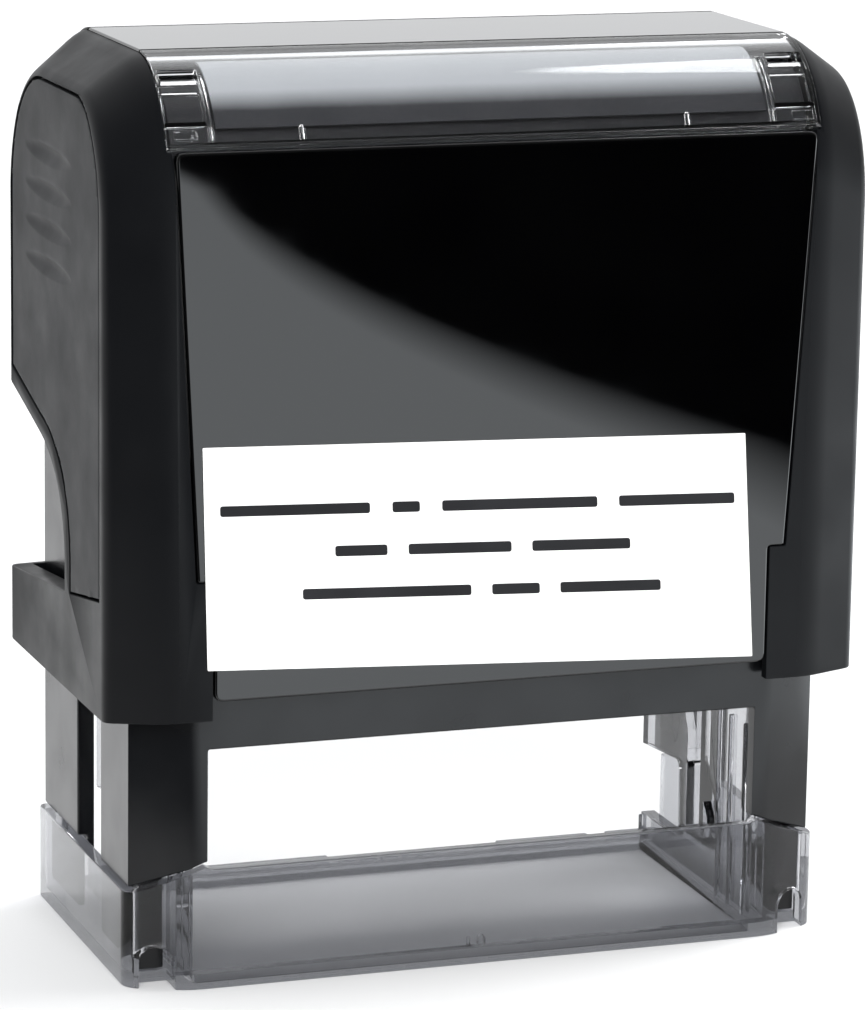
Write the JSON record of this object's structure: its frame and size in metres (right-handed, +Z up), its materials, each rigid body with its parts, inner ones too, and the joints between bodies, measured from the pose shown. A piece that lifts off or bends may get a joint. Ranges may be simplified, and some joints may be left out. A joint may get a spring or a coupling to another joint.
{
  "type": "self inking stamp",
  "caption": "Desk hand stamp with a press-down handle, a die that flips over from its ink pad, a slide-out pad drawer, an index window and a clear base.",
  "frame": {"origin": "centre of the footprint, on the surface that the base stands on", "axes": "+X to the user's right along the imprint's lines, +Y to the back where the pad drawer opens, +Z up along the press direction"},
  "size_m": [0.08, 0.0401, 0.093],
  "materials": {
    "satin_black": "satin, fine moulded grain",
    "grip_black": "matte, fine grain",
    "frame_black": "satin",
    "gloss_black": "piano gloss",
    "smoky_clear": "clear smoke-tinted plastic",
    "window_clear": "clear plastic",
    "white_card": "uncoated paper",
    "ink_felt": "ink-soaked felt",
    "foam": "foam sheet",
    "plate_rubber": "moulded rubber",
    "steel": "drawn steel"
  },
  "bodies": {
    "base": {"lower_frame": "frame_black", "clear_base": "smoky_clear", "return_spring": "steel"},
    "pad_drawer": {"pad_tray": "frame_black", "ink_pad": "ink_felt"},
    "handle": {"yoke": "satin_black", "arm_right": "satin_black", "arm_left": "satin_black", "grip_right": "grip_black", "grip_left": "grip_black", "front_panel": "gloss_black", "top_plate": "gloss_black", "rear_panel": "satin_black", "index_card": "white_card", "imprint_label": "white_card"},
    "die": {"die_holder": "satin_black", "die_cushion": "foam", "text_plate": "plate_rubber", "axle_pin_right": "steel", "axle_pin_left": "steel", "cam_pin_right": "steel", "cam_pin_left": "steel"},
    "window": {"index_window": "window_clear"}
  },
  "joints": [
    {"name": "press", "type": "slide", "parent": "base", "child": "handle", "axis": [0, 0, -1], "range_m": [0, 0.0245], "stiffness_N_per_m": 500, "springref_m": -0.004, "deforming": ["return_spring"]},
    {"name": "flip", "type": "hinge", "parent": "handle", "child": "die", "pos_m": [0, 0, 0.0331], "axis": [1, 0, 0], "range_deg": [-180, 0]},
    {"name": "pad_slide", "type": "slide", "parent": "base", "child": "pad_drawer", "axis": [0, 1, 0], "range_m": [0, 0.036]},
    {"name": "window_lift", "type": "slide", "parent": "handle", "child": "window", "axis": [0, 0, 1], "range_m": [0, 0.015]}
  ],
  "couplings": [
    {"joint": "flip", "follows": "press", "rad_per_m": -128.2}
  ]
}
